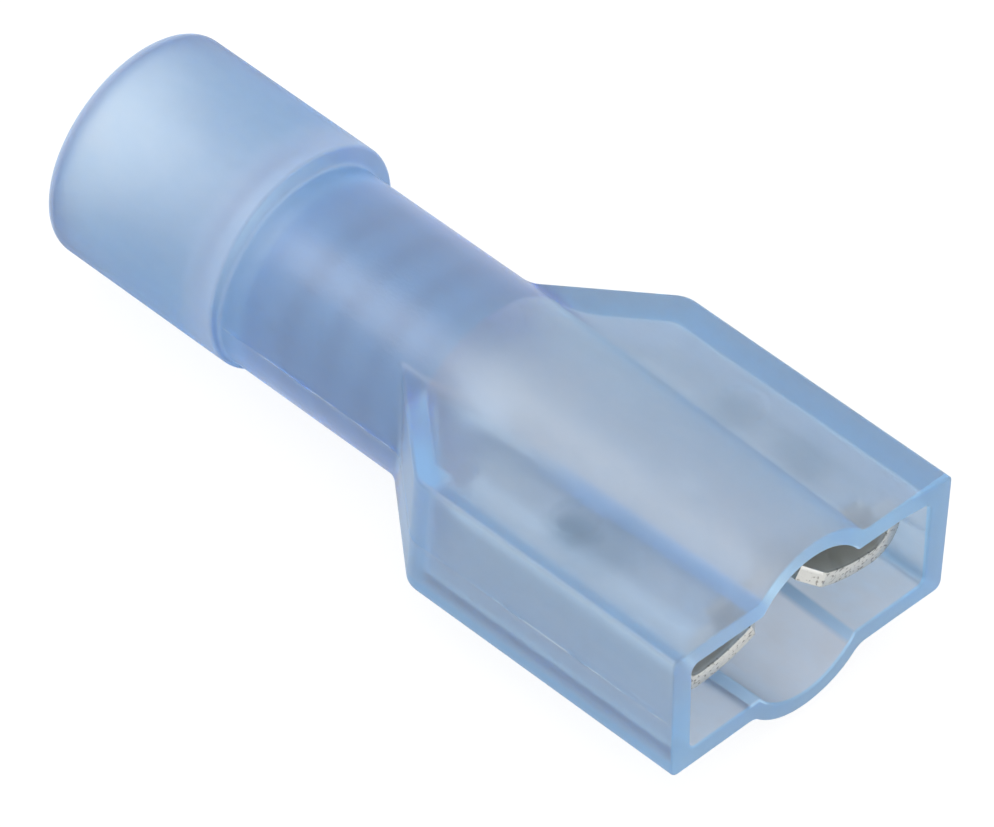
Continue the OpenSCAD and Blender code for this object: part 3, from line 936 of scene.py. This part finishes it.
@dataclass(frozen=True)
class TinFinish:
    """Bright tin plate with fine drawing streaks and dull, torn cut edges; the barrel is painted with shade as a
    darker, bluer copy of the tin, darker in rings and paler towards its back end.
    """

    shape: RolledContact
    colour: Triple = (0.9, 0.9, 0.87)
    # Painted shade: the barrel inside the neck is a darker, bluer copy of the tin, darker in rings and paler at its
    # back end
    barrel_shade_colour: Triple = (0.4, 0.57, 0.73)
    barrel_end_shade_colour: Triple = (0.5, 0.7, 0.86)
    groove_shade_colour: Triple = (0.32, 0.49, 0.65)
    edge_colour: Triple = (0.69, 0.69, 0.66)
    speck_colour: Triple = (0.22, 0.21, 0.19)
    streak: Grain = Grain((900, 9000, 9000), 3.0)
    streak_rough: Ramp = (0.3, 0.7, 0.37, 0.5)
    streak_strength: float = 0.1
    streak_depth: float = 0.01
    torn: Grain = Grain((9000, 9000, 14000), 4.0)
    torn_strength: float = 0.8
    torn_depth: float = 0.03
    specks: Ramp = (0.56, 0.66, 0.0, 0.8)
    cut: Ramp = (0.04, 0.07, 1.0, 0.0)
    base_cut: Ramp = (0.04, 0.12, 1.0, 0.0)
    base_specks: float = 0.5
    base_z: float = 0.76
    # Painted shade in rings along the barrel: station of the first, their pitch, and their darkness from the cosine
    shade_ring_x: float = 7.15
    shade_ring_pitch: float = 1.248
    rings: Ramp = (-0.4, 1.0, 0.0, 1.0)
    barrel_skin: Ramp = (1.45, 1.6, 0.0, 1.0)
    barrel_front: Ramp = (10.6, 12.8, 1.0, 0.0)
    barrel_back: Ramp = (5.7, 6.7, 0.7, 0.0)
    barrel_rough: float = 0.2

    def _cuts(self, net: Net, spot: Spot) -> tuple[Socket, Socket]:
        """Returns where the sheet is cut, at the lips and the base, and at the base alone."""
        shape = self.shape
        cut_x = shape.x_front - shape.lead_in - shape.lip_gap / 2
        depth = net.math("MINIMUM", net.math("SUBTRACT", shape.x_front, spot.x),
                         net.math("SUBTRACT", cut_x, net.math("SUBTRACT", spot.x, spot.width)))
        behind = net.math("SUBTRACT", shape.x_front - shape.base_set_back, spot.x)
        base = net.product(net.math("LESS_THAN", spot.width, shape.base_half - shape.sheet_t),
                           net.math("GREATER_THAN", spot.z, self.base_z), net.ramp(behind, self.base_cut))
        return net.most(net.ramp(depth, self.cut), base), base

    def _barrel_painted_shade(self, net: Net, spot: Spot) -> Socket:
        """Returns the painted shade of the barrel's outside: a darker, bluer copy of the tin, darker in rings over the
        grooves and paler towards its back end.
        """
        turns = net.product(net.math("SUBTRACT", spot.x, self.shade_ring_x), 2 * math.pi / self.shade_ring_pitch)
        tone = net.mix(net.ramp(net.math("COSINE", turns), self.rings), self.barrel_shade_colour, self.groove_shade_colour)
        return net.mix(net.ramp(spot.x, self.barrel_back), tone, self.barrel_end_shade_colour)

    def material(self) -> bpy.types.Material:
        """Returns the material."""
        material = bpy.data.materials.new("tin_plate")
        material.use_nodes = True
        net = Net(material.node_tree)
        spot = Spot.of(net)
        edge, base = self._cuts(net, spot)
        torn, streak = net.noise(self.torn, spot.place), net.noise(self.streak, spot.place)
        fine = net.add("Bump", {"Strength": self.streak_strength, "Distance": self.streak_depth * MM, "Height": streak})
        bump = net.add("Bump", {"Strength": net.product(edge, self.torn_strength), "Distance": self.torn_depth * MM,
                                "Height": torn, "Normal": fine.outputs[0]})
        barrel = net.product(net.ramp(spot.radius, self.barrel_skin), net.ramp(spot.x, self.barrel_front))
        # Painted shade on the outside of the barrel
        tone = net.mix(barrel, self.colour, self._barrel_painted_shade(net, spot))
        rough = net.math("ADD", net.ramp(streak, self.streak_rough), net.product(barrel, self.barrel_rough))
        specks = net.most(net.ramp(torn, self.specks), net.product(base, self.base_specks))
        dull = net.mix(specks, self.edge_colour, self.speck_colour)
        shader = net.add("BsdfPrincipled", {
            "Base Color": net.mix(edge, tone, dull), "Metallic": 1.0, "Roughness": rough, "Normal": bump.outputs[0]})
        net.add("OutputMaterial", {"Surface": shader.outputs[0]})
        return material


@dataclass(frozen=True)
class Lamp:
    """A square soft lamp: the way to it from the part, its power in watts, colour, size and distance."""

    way: Triple
    power: float
    colour: Triple = (1.0, 1.0, 1.0)
    size: float = 0.12
    reach: float = 0.2

    def hang(self, centre: Sequence[float]) -> bpy.types.Object:
        """Hangs the lamp over a centre and returns it."""
        Bench.clear()
        way = np.array(self.way) / np.linalg.norm(self.way)
        bpy.ops.object.light_add(type="AREA", location=tuple(np.array(centre) + self.reach * way))
        lamp = bpy.context.object
        lamp.data.size, lamp.data.energy, lamp.data.color = self.size, self.power, self.colour
        lamp.rotation_euler = (0, math.acos(way[2]), math.atan2(way[1], way[0]))
        return lamp


@dataclass(frozen=True)
class Stage:
    """Floor, light and camera of the photograph."""

    centre_x: float = 0.0108
    floor_z: float = -0.003
    floor_size: float = 0.8
    floor_colour: Triple = (0.85, 0.85, 0.85)
    floor_glow: float = 1.12
    floor_share: float = 0.8
    camera_place: Triple = (0.10731337, -0.11150087, 0.13779607)
    camera_turn: Triple = (46.60805, -3.46317, 43.85937)
    lens: float = 319.61
    sensor: float = 36.0
    clip_start: float = 0.01
    main_lamp: Lamp = Lamp((-0.47, -0.28, 0.83), 0.024)
    sheen_lamp: Lamp = Lamp((-0.48, -0.45, 0.75), 0.11, (1.0, 0.8, 0.58))
    surround: Ramp = (0.0, 1.0, 1.0, 1.0)
    through_bounces: int = 28
    other_bounces: int = 10

    @staticmethod
    def _seen(net: Net) -> Socket:
        """Returns 1 for a ray that shows the background: straight, mirrored or through the nylon."""
        ray = net.add("LightPath").outputs
        straight = net.math("ADD", ray["Is Camera Ray"], ray["Is Glossy Ray"], clamp=True)
        return net.math("ADD", straight, ray["Is Transmission Ray"], clamp=True)

    def set_floor(self) -> None:
        """Lays a pale floor which keeps a soft shadow."""
        Bench.clear()
        bpy.ops.mesh.primitive_plane_add(size=self.floor_size, location=(self.centre_x, 0, self.floor_z))
        floor = bpy.context.object
        floor.name = "floor"
        bpy.ops.object.transform_apply(location=True)
        material = bpy.data.materials.new("pale_floor")
        material.use_nodes = True
        net = Net(material.node_tree)
        paper = net.add("BsdfDiffuse", {"Color": (*self.floor_colour, 1)})
        glow = net.add("Emission", {"Color": (1, 1, 1, 1), "Strength": self.floor_glow})
        share = net.product(self._seen(net), self.floor_share)
        both = net.add("MixShader", {0: share, 1: paper.outputs[0], 2: glow.outputs[0]})
        net.add("OutputMaterial", {"Surface": both.outputs[0]})
        floor.data.materials.append(material)

    def set_light(self, housing: bpy.types.Object) -> None:
        """Sets a white surround, one broad soft lamp overhead and one for the sheen of the skin."""
        world = bpy.data.worlds.new("white_surround")
        bpy.context.scene.world = world
        world.use_nodes = True
        net = Net(world.node_tree)
        strength = net.ramp(self._seen(net), self.surround)
        glow = net.add("Background", {"Color": (1, 1, 1, 1), "Strength": strength})
        net.add("OutputWorld", {"Surface": glow.outputs[0]})
        centre = (self.centre_x, 0, 0)
        self.main_lamp.hang(centre)
        sheen = self.sheen_lamp.hang(centre)
        sheen.visible_diffuse = sheen.visible_transmission = False
        lit = bpy.data.collections.new("sheen_on")
        lit.objects.link(housing)
        sheen.light_linking.receiver_collection = lit

    def set_camera(self) -> None:
        """Sets the camera of the photograph and how far light is followed through the nylon."""
        Bench.clear()
        bpy.ops.object.camera_add(location=self.camera_place, rotation=[math.radians(a) for a in self.camera_turn])
        camera, scene = bpy.context.object, bpy.context.scene
        camera.data.sensor_fit = "HORIZONTAL"
        camera.data.sensor_width = self.sensor
        camera.data.lens = self.lens
        camera.data.clip_start = self.clip_start
        scene.camera = camera
        scene.view_settings.view_transform = "Standard"
        paths = scene.cycles
        paths.max_bounces = paths.transmission_bounces = paths.transparent_max_bounces = self.through_bounces
        paths.diffuse_bounces = paths.glossy_bounces = self.other_bounces


def main() -> None:
    """Builds the pieces, dresses them and sets the stage."""
    logging.basicConfig(level=logging.INFO, format="%(message)s")
    moulding, sheet = NylonHousing(), RolledContact()
    housing, contact = moulding.build(), sheet.build()
    for piece, node, slot, finish in ((housing, "nylon_housing", "nylon", NylonFinish(moulding)),
                                      (contact, "receptacle_contact", "tinned_brass", TinFinish(sheet))):
        piece.data.materials.append(finish.material())
        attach(piece, "root")
        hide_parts(node)
        LOG.info("%s: %d faces", piece.name, len(piece.data.polygons))
    stage = Stage()
    stage.set_floor()
    stage.set_light(housing)
    stage.set_camera()


if __name__ == "__main__":
    main()
